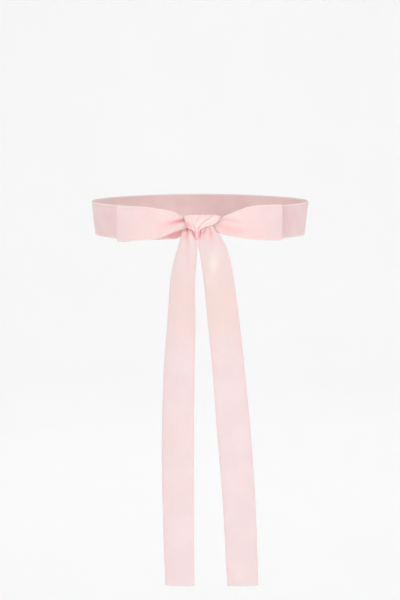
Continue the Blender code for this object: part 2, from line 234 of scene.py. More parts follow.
RIGHT_TAIL = (
    TailStation(1.6, 4.0, 16.5, 10.6, 8.2, 16.3, 0.0),
    TailStation(0.9, -0.2, 17.7, 13.2, 4.6, 17.6, 0.3),
    TailStation(0.3, -5.0, 18.6, 17.2, -1.0, 19.1, 0.7),
    TailStation(-0.6, -8.8, 19.3, 21.4, -5.8, 19.8, 1.1),
    TailStation(-2.6, -12.0, 19.8, 24.0, -9.6, 20.1, 1.3),
    TailStation(-2.3, -16.0, 20.1, 26.6, -14.5, 20.4, 1.6),
    TailStation(-1.2, -21.0, 20.4, 29.2, -20.4, 20.6, 1.9),
    TailStation(0.9, -34.0, 21.2, 33.0, -34.0, 20.4, 2.4),
    TailStation(4.5, -60.0, 24.5, 37.5, -60.0, 22.5, 3.2),
    TailStation(8.3, -100.0, 31.5, 42.8, -100.0, 28.0, 3.6),
    TailStation(13.4, -150.0, 40.0, 48.3, -150.0, 36.0, 4.0),
    TailStation(18.6, -220.0, 46.0, 55.0, -220.0, 41.5, 4.2),
    TailStation(25.0, -300.0, 47.0, 60.6, -300.0, 42.5, 3.6),
    TailStation(29.6, -390.2, 46.0, 64.1, -390.6, 42.5, 2.0),
)

# A fold on the wrap, a loop or a tail: a soft trough, or a ridge where its depth is negative, on a smooth
# line through three places seen from the front, with its depth at each. The last column is how much shade
# is painted into the colour along its bottom or, where it is below 0, how much highlight is painted on the
# crest of a ridge.
Fold = namedtuple("Fold", "x z mid_x mid_z end_x end_z depth mid_depth end_depth width blush")

WRAP_FRONT = (
    Fold(15.4, 14.0, 5.5, 8.8, -1.6, 1.6, 1.0, 1.4, 1.0, 0.95, 0.90),
    Fold(-1.5, 2.4, -1.5, -3.5, -1.7, -11.0, 0.7, 1.3, 1.0, 0.60, 1.00),
    Fold(-1.4, -1.6, -1.3, -4.0, -1.2, -7.5, 0.2, 0.8, 0.2, 0.70, 1.00),
    Fold(1.6, 14.2, -2.6, 10.0, -4.8, 5.6, 0.8, 1.2, 0.5, 0.85, 0.75),
    Fold(-5.4, 5.2, -5.0, -1.5, -4.5, -10.0, 0.5, 1.2, 0.8, 0.60, 1.00),
    Fold(-5.2, -0.6, -5.1, -3.6, -4.9, -7.5, 0.2, 0.9, 0.2, 0.70, 1.00),
    Fold(-13.9, 8.4, -13.2, 4.4, -11.4, 1.4, 0.4, 1.3, 0.8, 0.65, 1.00),
    Fold(-12.0, 8.4, -10.4, 4.8, -8.6, 1.6, 0.3, 1.5, 0.9, 0.60, 1.00),
    Fold(-12.9, 7.8, -11.8, 4.6, -10.0, 1.6, -0.2, -0.8, -0.3, 0.60, -0.30),
    Fold(-8.4, 7.4, -7.2, 4.2, -6.2, 0.6, 0.2, 0.9, 0.6, 0.60, 0.60),
    Fold(-5.2, 13.8, -7.2, 10.8, -7.8, 7.2, 0.4, 0.6, 0.1, 0.75, 0.35),
    Fold(-12.5, 9.5, -10.8, 5.5, -8.0, 2.0, 0.1, 0.2, 0.1, 3.0, 0.22),
    Fold(19.8, 11.5, 10.4, 7.1, 0.2, 2.6, 0.5, 0.9, 0.6, 0.70, 0.62),
    Fold(-9.4, 14.2, -8.8, 10.4, -9.2, 6.8, 0.3, 0.4, 0.0, 1.20, 0.12),
    Fold(9.4, 14.2, 1.8, 10.6, -3.6, 5.6, 0.4, 0.7, 0.2, 0.65, 0.45),
    Fold(5.4, 14.2, -0.6, 9.9, -4.4, 4.8, -0.4, -0.4, -0.2, 0.90, -0.40),
    Fold(11.6, 14.2, 3.4, 9.9, -2.2, 4.6, -0.4, -0.4, -0.2, 0.90, -0.40),
    Fold(18.8, 14.0, 9.4, 8.3, 0.8, 3.2, -0.4, -0.5, -0.4, 1.20, -0.50),
)
WRAP_BACK = (
    Fold(15.4, 14.0, 9.5, 4.0, 3.5, -7.0, 1.0, 0.9, 0.6, 1.0, 0.55),
    Fold(8.0, 14.2, 4.2, 5.0, 0.4, -9.0, 0.3, 0.9, 0.6, 0.9, 0.50),
    Fold(2.6, 14.2, -0.6, 5.0, -2.0, -9.0, 0.8, 0.8, 0.6, 0.9, 0.50),
    Fold(-9.4, 14.2, -6.5, 5.0, -3.8, -8.0, 0.5, 0.9, 0.6, 0.9, 0.50),
)
LEFT_LOOP_FRONT = (
    Fold(-14.0, 11.0, -23.7, 8.7, -35.0, 6.0, 1.0, 1.2, 0.0, 1.0, 1.00),
    Fold(-15.0, 10.6, -30.1, 7.3, -52.0, 1.5, 0.9, 1.1, 0.0, 3.2, 0.40),
    Fold(-16.0, 5.6, -26.0, 2.3, -39.0, -3.5, -0.9, -1.2, -0.3, 2.2, 0.0),
    Fold(-17.0, 2.0, -27.0, -0.9, -38.0, -5.0, 0.6, 0.7, 0.0, 1.3, 0.30),
    Fold(-19.0, 12.8, -30.0, 15.0, -44.0, 17.0, -0.5, -0.6, 0.0, 2.4, 0.0),
)
LEFT_LOOP_BACK = (
    Fold(-14.0, 4.0, -27.0, 2.0, -44.0, -1.0, 1.2, 1.0, 0.0, 1.6, 0.40),
    Fold(-15.0, -1.0, -28.0, -5.0, -41.0, -8.0, -0.8, -0.8, 0.0, 2.2, 0.0),
    Fold(-16.0, 8.5, -30.0, 9.5, -47.0, 9.0, 0.7, 0.7, 0.0, 2.0, 0.20),
    Fold(-18.0, -8.0, -30.0, -10.5, -48.0, -12.5, 0.2, 0.2, 0.0, 6.0, 0.70),
)
RIGHT_LOOP_FRONT = (
    Fold(20.0, 9.3, 33.3, 7.8, 45.0, 6.7, -0.8, -0.7, -0.1, 1.6, 0.0),
    Fold(45.0, 6.8, 49.0, 8.6, 54.0, 13.6, -0.2, -0.35, 0.0, 1.6, 0.0),
    Fold(18.0, 11.6, 34.4, 10.4, 47.0, 9.4, 0.9, 0.7, 0.0, 1.7, 0.40),
    Fold(19.0, 5.2, 31.0, 3.0, 47.0, 1.5, 0.9, 0.7, 0.0, 2.2, 0.25),
    Fold(20.0, 0.0, 33.0, -3.5, 50.0, -5.0, -0.6, -0.6, 0.0, 2.6, 0.0),
    Fold(26.0, -1.0, 40.0, -1.0, 58.0, 1.0, 0.25, 0.3, 0.0, 5.0, 0.35),
)
RIGHT_LOOP_BACK = (
    Fold(14.0, 4.0, 27.0, 4.5, 42.0, 6.5, 1.2, 1.0, 0.0, 1.6, 0.40),
    Fold(15.0, 0.0, 29.0, -2.0, 45.0, -4.0, -0.8, -0.8, 0.0, 2.2, 0.0),
    Fold(16.0, 7.5, 30.0, 11.0, 47.0, 15.0, 0.7, 0.6, 0.0, 1.8, 0.20),
)
LEFT_TAIL_FOLDS = (
    Fold(-10.2, -0.5, -9.4, -10.0, -8.4, -25.0, -0.2, -1.1, -0.2, 1.9, -0.60),
    Fold(-13.9, 0.0, -14.1, -10.0, -14.4, -28.0, 0.9, 1.3, 0.1, 2.9, 0.36),
    Fold(-13.4, 0.8, -13.6, -4.6, -14.4, -13.0, 1.0, 1.1, 0.0, 1.2, 0.70),
    Fold(-17.6, -1.0, -18.6, -9.0, -20.8, -22.0, -0.4, -0.6, 0.0, 1.5, 0.0),
    Fold(-8.2, -1.0, -7.0, -5.4, -5.0, -11.6, 0.2, 0.4, 0.1, 1.7, 1.00),
    Fold(-14.4, -18.0, -14.8, -34.0, -14.6, -54.0, 0.5, 0.7, 0.0, 3.0, 0.09),
    Fold(-22.0, -60.0, -17.0, -110.0, -21.0, -165.0, 0.0, 0.5, 0.0, 7.0, 0.0),
    Fold(-28.0, -150.0, -30.0, -210.0, -26.0, -280.0, 0.0, 0.5, 0.0, 6.0, 0.0),
    Fold(-14.0, -240.0, -17.0, -310.0, -13.0, -385.0, 0.0, 0.5, 0.2, 7.0, 0.0),
)
RIGHT_TAIL_FOLDS = (
    Fold(8.6, 2.8, 11.4, -3.5, 11.4, -15.0, 1.0, 1.7, 0.0, 1.15, 1.00),
    Fold(11.8, -9.0, 11.6, -20.0, 11.2, -35.0, 0.4, 0.6, 0.0, 2.8, 0.12),
    Fold(5.8, 1.0, 3.8, -3.0, 1.4, -9.0, 0.9, 1.4, 0.2, 1.1, 0.95),
    Fold(9.2, 2.8, 7.4, -4.5, 6.4, -16.0, -0.4, -0.9, 0.0, 1.5, -0.20),
    Fold(4.4, 1.6, 1.6, -2.0, 0.6, -6.5, -0.2, -0.4, 0.0, 0.9, 0.0),
    Fold(0.6, 0.6, 0.0, -4.5, -0.5, -11.0, 0.1, 0.3, 0.1, 1.2, 1.00),
    Fold(13.2, 2.4, 17.8, -7.0, 24.4, -22.0, -0.4, -0.9, 0.0, 2.3, -0.20),
    Fold(15.6, 0.8, 20.6, -7.6, 27.6, -21.0, 0.4, 0.7, 0.1, 1.3, 0.30),
    Fold(5.4, -35.0, 12.9, -46.0, 23.7, -35.0, 0.3, 0.45, 0.3, 2.4, 0.05),
    Fold(15.0, -21.0, 14.5, -36.0, 12.0, -56.0, -0.3, -0.7, -0.3, 6.2, -0.62),
    Fold(27.0, -60.0, 31.0, -110.0, 30.0, -160.0, 0.0, 0.5, 0.0, 6.0, 0.0),
    Fold(28.0, -170.0, 38.0, -230.0, 37.0, -290.0, 0.0, 0.5, 0.0, 7.0, 0.0),
    Fold(49.0, -260.0, 53.0, -320.0, 50.0, -385.0, 0.0, 0.45, 0.2, 6.0, 0.0),
)
FOLD_SAMPLES = 40

# How much shade is painted into the cloth's colour where it goes into the knot, and in millimetres where
# that starts to fade and how far it reaches from there: out along a loop, from the middle, and down a tail
Neck = namedtuple("Neck", "blush place reach")

LOOP_NECK = Neck(0.10, 15.0, 10.0)
TAIL_NECK = Neck(0.25, 2.0, 14.0)

# A pleat of the band's gather: its place across at the knot, from 0 at the low edge to 1 at the high one,
# its depth, its width as a fraction of the band's height, and how far from the knot it fades out, to the
# left and to the right.
BandPleat = namedtuple("BandPleat", "place depth width left_reach right_reach")

BAND_PLEATS = (
    BandPleat(0.16, 1.3, 0.07, 52.0, 40.0),
    BandPleat(0.36, 1.7, 0.06, 38.0, 60.0),
    BandPleat(0.57, 1.5, 0.06, 64.0, 46.0),
    BandPleat(0.79, 1.6, 0.07, 44.0, 56.0),
)
PLEAT_FANNING = 1.5
# How much shade is painted into the colour along the pleats
PLEAT_PAINTED_SHADE = 0.35


def eased(value):
    """0 below 0 and 1 above 1, with a smooth rise between."""
    value = np.clip(value, 0.0, 1.0)
    return value * value * (3.0 - 2.0 * value)


def read_rows(rows, keys, places):
    """The columns of `rows` at `places` among `keys`, on a smooth curve through every row."""
    rows = np.array(rows, float)
    keys = np.array(keys, float)
    places = np.asarray(places, float)
    number = np.arange(len(keys))
    low = np.maximum(number - 1, 0)
    high = np.minimum(number + 1, len(keys) - 1)
    slopes = (rows[high] - rows[low]) / (keys[high] - keys[low])[:, None]
    span = np.clip(np.searchsorted(keys, places, side="right") - 1, 0, len(keys) - 2)
    width = (keys[span + 1] - keys[span])[:, None]
    part = (places - keys[span])[:, None] / width
    start = 2.0 * part**3 - 3.0 * part**2 + 1.0
    start_bend = part**3 - 2.0 * part**2 + part
    end_bend = part**3 - part**2
    found = start * rows[span] + (1.0 - start) * rows[span + 1]
    found += width * (start_bend * slopes[span] + end_bend * slopes[span + 1])
    return found.T


def read_table(table, along):
    """The table's columns at `along`, from 0 at its first row to 1 at its last."""
    keys = range(len(table))
    columns = read_rows(table, keys, np.asarray(along) * keys[-1])
    return type(table[0])(*columns[:, :, None])


def as_points(x, y, z):
    return np.stack(np.broadcast_arrays(x, y, z), axis=-1)


def outward(points, side):
    """Unit normals of a grid of points; `side` is 1 or -1 and picks the face."""
    run = np.gradient(points, axis=0)
    rise = np.gradient(points, axis=1)
    normals = np.cross(run, rise) * side
    return normals / np.linalg.norm(normals, axis=2, keepdims=True)


def fold_line(fold):
    """Places in x and z along a fold, and its depth there, on a curve through its three places."""
    part = np.linspace(0.0, 1.0, FOLD_SAMPLES)
    start = 2.0 * (part - 0.5) * (part - 1.0)
    middle = 4.0 * part * (1.0 - part)
    end = 2.0 * part * (part - 0.5)
    x = start * fold.x + middle * fold.mid_x + end * fold.end_x
    z = start * fold.z + middle * fold.mid_z + end * fold.end_z
    depth = np.interp(part, (0.0, 0.5, 1.0), (fold.depth, fold.mid_depth, fold.end_depth))
    return x * MM, z * MM, depth * MM


def pressed(points, normals, folds, where):
    """The points with the folds pressed in where the mask `where` is 1, and the shade painted along each
    one (a painted highlight where it is below 0).
    """
    depth = np.zeros(points.shape[:2])
    blush = np.zeros(points.shape[:2])
    for fold in folds:
        x, z, depths = fold_line(fold)
        away = (points[:, :, 0, None] - x) ** 2 + (points[:, :, 2, None] - z) ** 2
        nearest = away.argmin(axis=2)
        closest = np.take_along_axis(away, nearest[:, :, None], 2)[:, :, 0]
        profile = np.exp(-closest / (fold.width * MM) ** 2)
        depth += depths[nearest] * profile
        strongest = max(abs(fold.depth), abs(fold.mid_depth), abs(fold.end_depth)) * MM
        blush += fold.blush * profile * np.abs(depths[nearest]) / strongest
    return points - normals * (depth * where)[:, :, None], np.clip(blush, -1.0, 1.0) * where


def band_surface(along, across):
    """The band's middle surface, with the pleats that gather it behind the knot and the shade painted into
    them.
    """
    turn = 2.0 * math.pi * along[:, None]
    across = across[None, :]
    angle = turn - BAND_CROWDING * np.sin(turn) - math.pi / 2.0
    ease = 1.0 - DIAGONAL_EASE * np.sin(2.0 * angle) ** 2
    grow = BAND_FLARE * (across - 0.5) - BAND_INSET
    x = (WAIST_WIDTH / 2.0 + grow) * ease * np.cos(angle)
    y = (WAIST_DEPTH / 2.0 + grow) * ease * np.sin(angle)
    behind = y < 0.0
    gather = behind * (1.0 - eased((np.abs(x) - GATHER_STARTS) / (GATHER_ENDS - GATHER_STARTS)))
    height = RIBBON_WIDTH - (RIBBON_WIDTH - GATHERED_HEIGHT) * gather
    pressed_in = np.zeros_like(x)
    blush = np.zeros_like(x)
    for pleat in BAND_PLEATS:
        reach = np.where(x < 0.0, pleat.left_reach, pleat.right_reach) * MM
        fade = behind * (1.0 - eased(np.abs(x) / reach))
        spread = pleat.width * (1.0 + PLEAT_FANNING * np.abs(x) / reach)
        profile = np.exp(-(((across - pleat.place) / spread) ** 2)) * fade
        pressed_in += pleat.depth * MM * profile
        blush += PLEAT_PAINTED_SHADE * profile
    z = height * (across - 0.5) + GATHER_LIFT * gather - y * math.tan(BAND_TILT)
    return as_points(x, y + pressed_in, z), np.clip(blush, 0.0, 1.0)


def neck_painted_shade(neck, distance):
    """The shade painted into the cloth's colour near the knot, by the distance out or down, in metres."""
    return neck.blush * (1.0 - eased((distance - neck.place * MM) / (neck.reach * MM)))


def loop_surface(table, front_folds, back_folds):
    """The middle surface of a loop, as a function of the places along and across."""
    side = 1.0 if table[0].x > 0.0 else -1.0
    outer = max(range(len(table)), key=lambda row: abs(table[row].x)) / (len(table) - 1)

    def surface(along, across):
        here = read_table(table, along)
        across = across[None, :]
        run_x = np.gradient(here.x[:, 0], along)
        run_y = np.gradient(-here.out[:, 0], along)
        length = np.hypot(run_x, run_y)
        normal_x = (side * run_y / length)[:, None]
        normal_y = (-side * run_x / length)[:, None]
        groove = np.exp(-(((across - here.fold_at) / LOOP_FOLD_SPREAD) ** 2))
        lift = here.swell * np.sin(math.pi * across) - here.fold_depth * groove
        x = (here.x + lift * normal_x) * MM
        y = BAND_BACK + (-here.out - here.lean * (0.5 - across) + lift * normal_y) * MM
        z = (here.low + (here.high - here.low) * across) * MM
        points = as_points(x, y, z)
        normals = outward(points, side)
        in_front = (along < outer)[:, None] * np.ones_like(x)
        points, front_painted_shading = pressed(points, normals, front_folds, in_front)
        points, back_painted_shading = pressed(points, normals, back_folds, 1.0 - in_front)
        # Shade painted into the colour where the loop goes into the knot
        shade_near_knot = neck_painted_shade(LOOP_NECK, np.abs(points[:, :, 0]))
        return points, np.clip(front_painted_shading + back_painted_shading + shade_near_knot, -1.0, 1.0)

    return surface


def tail_surface(table, folds):
    """The middle surface of a tail, as a function of the places along and across."""

    def surface(along, across):
        here = read_table(table, along)
        across = across[None, :]
        cup = here.cup * (1.0 - (2.0 * across - 1.0) ** 2)
        out = here.left_out + (here.right_out - here.left_out) * across + cup
        x = here.left + (here.right - here.left) * across
        z = here.left_z + (here.right_z - here.left_z) * across
        points = as_points(x * MM, BAND_BACK - out * MM, z * MM)
        normals = outward(points, 1.0)
        points, blush = pressed(points, normals, folds, np.ones(points.shape[:2]))
        # Shade painted into the colour where the tail comes out of the knot
        shade_near_knot = neck_painted_shade(TAIL_NECK, -points[:, :, 2])
        return points, np.clip(blush + shade_near_knot, -1.0, 1.0)

    return surface


def wrap_layer(along, across, lift):
    """A plain layer of the knot's wrap, `lift` outside the ring's own size."""
    degrees = 360.0 * along
    keys = [row.angle for row in WRAP]
    here = WrapStation(*read_rows(WRAP, keys, degrees)[:, :, None])
    across = across[None, :]
    angle = np.radians(degrees)[:, None]
    x = (here.left + (here.right - here.left) * across) * MM
    to_right = np.clip(2.0 * across - 1.0, 0.0, 1.0) ** WRAP_PRESS_POWER
    to_left = np.clip(1.0 - 2.0 * across, 0.0, 1.0) ** WRAP_PRESS_POWER
    lift = lift - (here.right_in * to_right + here.left_in * to_left) * MM
    y = BAND_BACK - WRAP_OUT - (WRAP_HALF_DEPTH + lift) * np.sin(angle)
    z = WRAP_HEIGHT_AT + (WRAP_HALF_HEIGHT + lift) * np.cos(angle) - here.drop * MM
    return as_points(x, y, z)


def rolled_edge(outer, inner, side):
    """Columns of points round an edge of the wrap, from its outer face to its inner one."""
    columns = []
    for share, bulge in WRAP_EDGE_POINTS:
        column = outer * (1.0 - share) + inner * share
        column[:, 0] += side * bulge * WRAP_EDGE
        columns.append(column)
    return np.stack(columns, axis=1)


def wrap_surface(along, across):
    """The closed section of the wrap at each place along: its creased face, its plain inner face and the
    two rolled edges between them. It goes from the ring's top over the front and round.
    """
    rolled = WRAP_ROLL * np.abs(2.0 * across[None, :] - 1.0) ** WRAP_ROLL_POWER
    outside = wrap_layer(along, across, WRAP_SWELL - rolled)
    normals = outward(outside, -1.0)
    in_front = eased((outside[:, :, 1] - BAND_BACK + WRAP_OUT) / -WRAP_TURN)
    outside, blush = pressed(outside, normals, WRAP_FRONT, in_front)
    outside, back_painted_shading = pressed(outside, normals, WRAP_BACK, 1.0 - in_front)
    inside = wrap_layer(along, across[::-INNER_STEP], -WRAP_CLOTH)
    right = rolled_edge(outside[:, -1], inside[:, 0], 1.0)
    left = rolled_edge(outside[:, 0], inside[:, -1], -1.0)[:, ::-1]
    points = np.concatenate([outside, right, inside, left, outside[:, :1]], axis=1)
    # Painted shade: all over the inner face, on the rolled edges, and rising along the outer face's sides
    inner_painted_shade = np.full(inside.shape[:2], WRAP_INNER_PAINTED_SHADE)
    edge_painted_shade = np.full(right.shape[:2], WRAP_EDGE_PAINTED_SHADE)
    blush = blush + back_painted_shading + WRAP_SIDE_PAINTED_SHADE * np.abs(2.0 * across - 1.0) ** WRAP_SIDE_POWER
    blush = np.concatenate([blush, edge_painted_shade, inner_painted_shade, edge_painted_shade, blush[:, :1]], axis=1)
    return points, np.clip(blush, -1.0, 1.0)


def wrap_places(across):
    """The place on the flat ribbon of each point of the wrap's closed section, clear of the woven edges,
    which are turned in.
    """
    flat = 2.0 * SELVEDGE + across * (RIBBON_WIDTH - 4.0 * SELVEDGE)
    low = np.full(len(WRAP_EDGE_POINTS), flat[0])
    high = np.full(len(WRAP_EDGE_POINTS), flat[-1])
    return np.concatenate([flat, high, flat[::-INNER_STEP], low, flat[:1]])


def ribbon_columns():
    """Places across the ribbon, from 0 to 1, close together at its woven edges."""
    edge = np.array(EDGE_COLUMNS) * MM
    middle = np.linspace(edge[-1], RIBBON_WIDTH - edge[-1], MIDDLE_COLUMNS)[1:-1]
    return np.concatenate([edge, middle, RIBBON_WIDTH - edge[::-1]]) / RIBBON_WIDTH


def even_places(surface, count, across):
    """Places along a surface that lie the same distance apart, and how far along the cloth each one is."""
    trial = np.linspace(0.0, 1.0, TRIAL_STEPS * count + 1)
    points, _ = surface(trial, across)
    middle = points[:, points.shape[1] // 2]
    steps = np.linalg.norm(np.diff(middle, axis=0), axis=1)
    run = np.concatenate([[0.0], np.cumsum(steps)])
    lengths = np.linspace(0.0, run[-1], count + 1)
    return np.interp(lengths, run, trial), lengths


def select_only(piece):
    bpy.ops.object.select_all(action="DESELECT")
    piece.select_set(True)
    bpy.context.view_layer.objects.active = piece


def apply_modifiers(piece):
    select_only(piece)
    for modifier in list(piece.modifiers):
        bpy.ops.object.modifier_apply(modifier=modifier.name)


def cloth_grid(name, points, blush, lengths, cloth_across, material, closed):
    """A grid moved onto the points, with its place on the flat ribbon as its map.

    `cloth_across` gives each column's place on the flat ribbon, in metres from its low edge.
    """
    rows = points.shape[0] - 1
    columns = points.shape[1] - 1
    bpy.ops.object.select_all(action="DESELECT")
    bpy.ops.mesh.primitive_grid_add(x_subdivisions=rows, y_subdivisions=columns, size=2.0)
    piece = bpy.context.object
    piece.name = name
    mesh = piece.data
    mesh.name = name
    flat = np.zeros(len(mesh.vertices) * 3, np.float32)
    mesh.vertices.foreach_get("co", flat)
    flat = flat.reshape(-1, 3)
    row = np.rint((flat[:, 0] + 1.0) / 2.0 * rows).astype(int)
    column = np.rint((flat[:, 1] + 1.0) / 2.0 * columns).astype(int)
    mesh.vertices.foreach_set("co", points[row, column].astype(np.float32).ravel())
    # The painted shading: shade painted where it is above 0, highlight painted where it is below 0
    mesh.attributes.new("blush", "FLOAT", "POINT").data.foreach_set("value", blush[row, column])
    while mesh.uv_layers:
        mesh.uv_layers.remove(mesh.uv_layers[0])
    ribbon = mesh.uv_layers.new(name="ribbon")
    corner = np.zeros(len(mesh.loops), np.int32)
    mesh.loops.foreach_get("vertex_index", corner)
    on_cloth = np.stack([lengths[row], cloth_across[column]], axis=-1)[corner]
    ribbon.data.foreach_set("uv", on_cloth.astype(np.float32).ravel())
    pile = piece.vertex_groups.new(name="pile")
    from_edge = np.minimum(cloth_across, RIBBON_WIDTH - cloth_across)[column]
    in_pile = eased((from_edge - SELVEDGE + PILE_IN_EDGE) / PILE_RISE)
    for index, weight in enumerate(in_pile):
        pile.add([index], float(weight), "REPLACE")
    mesh.update()
    if closed:
        select_only(piece)
        bpy.ops.object.mode_set(mode="EDIT")
        bpy.ops.mesh.select_all(action="SELECT")
        bpy.ops.mesh.remove_doubles(threshold=WELD)
        bpy.ops.mesh.normals_make_consistent(inside=False)
        bpy.ops.object.mode_set(mode="OBJECT")
    mesh.materials.clear()
    mesh.materials.append(material)
    mesh.shade_smooth()
    return piece


def ribbon_shell(name, surface, rows, across, material, closed=False):
    """A stretch of ribbon: a sheet on its surface, given its thickness and soft rims."""
    places, lengths = even_places(surface, rows, across)
    points, blush = surface(places, across)
    piece = cloth_grid(name, points, blush, lengths, across * RIBBON_WIDTH, material, closed)
    wall = piece.modifiers.new("Cloth", "SOLIDIFY")
    wall.thickness = CLOTH
    wall.offset = 0.0
    wall.vertex_group = "pile"
    wall.thickness_vertex_group = SELVEDGE_THINNESS
    rim = piece.modifiers.new("Rim", "BEVEL")
    rim.width = RIM_ROUNDING
    rim.segments = RIM_SEGMENTS
    rim.limit_method = "ANGLE"
    rim.angle_limit = RIM_ANGLE
    apply_modifiers(piece)
    piece.vertex_groups.clear()
    piece.data.shade_smooth()
    return piece


def node(tree, kind, x, y, **settings):
    made = tree.nodes.new(kind)
    made.location = (x, y)
    for key, value in settings.items():
        setattr(made, key, value)
    return made


def math_node(tree, operation, x, y, first, second=None):
    """A Math node on one or two sockets or numbers. Returns its output."""
    made = node(tree, "ShaderNodeMath", x, y, operation=operation)
    for socket, value in zip(made.inputs, (first, second)):
        if isinstance(value, bpy.types.NodeSocket):
            tree.links.new(value, socket)
        elif value is not None:
            socket.default_value = value
    return made.outputs[0]


# A Mix node has sockets for each kind of value. These are the share, the two colours and their mix.
MIX_INPUTS = (0, 6, 7)
MIX_RESULT = 2


def mixed(tree, x, y, share, first, second, blend="MIX"):
    """A colour mix of two sockets or colours by a socket or number. Returns its output."""
    made = node(tree, "ShaderNodeMix", x, y, data_type="RGBA", blend_type=blend)
    for index, value in zip(MIX_INPUTS, (share, first, second)):
        if isinstance(value, bpy.types.NodeSocket):
            tree.links.new(value, made.inputs[index])
        else:
            made.inputs[index].default_value = value
    return made.outputs[MIX_RESULT]


def ranged(tree, x, y, value, low, high, to_low=0.0, to_high=1.0):
    """A socket's value between low and high, brought smoothly to the other range. Returns its output."""
    made = node(tree, "ShaderNodeMapRange", x, y, interpolation_type="SMOOTHSTEP")
    tree.links.new(value, made.inputs["Value"])
    made.inputs["From Min"].default_value = low
    made.inputs["From Max"].default_value = high
    made.inputs["To Min"].default_value = to_low
    made.inputs["To Max"].default_value = to_high
    return made.outputs["Result"]


# The patches: the noise between which they come up, the cream ones' share at most, and their scale as a
# part of the brushed ones'
BRUSHED_FROM = 0.34
BRUSHED_TO = 0.68
CREAM_FROM = 0.42
CREAM_TO = 0.64
CREAM_SHARE = 0.3
CREAM_SCALE = 0.4

# The cream stretch: its share at the top and its full share, and at which parts of its reach it starts to
# rise to that and to fade
CREAM_AT_TOP = 0.4
CREAM_FULL = 0.65
CREAM_RISES = 0.15
CREAM_FADES = 0.5

# The tufts, by their number to the metre along the ribbon and across it: the noise between which they
# rise, their height in metres, and how dark and how rough the low and the high ones are
TUFTS = (900.0, 2600.0, 1.0)
TUFT_LOW = 0.3
TUFT_HIGH = 0.7
TUFT_HEIGHT = 0.00035
TUFT_SHADE = (0.93, 1.03)
TUFT_ROUGHNESS = (0.78, 0.96)

# The woven edge: how close its threads lie and how high they stand, as a part of the tufts' height, how
# far past it the faint line of painted shade in the pile ends, and how strong that is
THREAD_SCALE = 420.0
THREAD_HEIGHT = 0.2
EDGE_LINE = 0.0016
EDGE_LINE_SHARE = 0.10


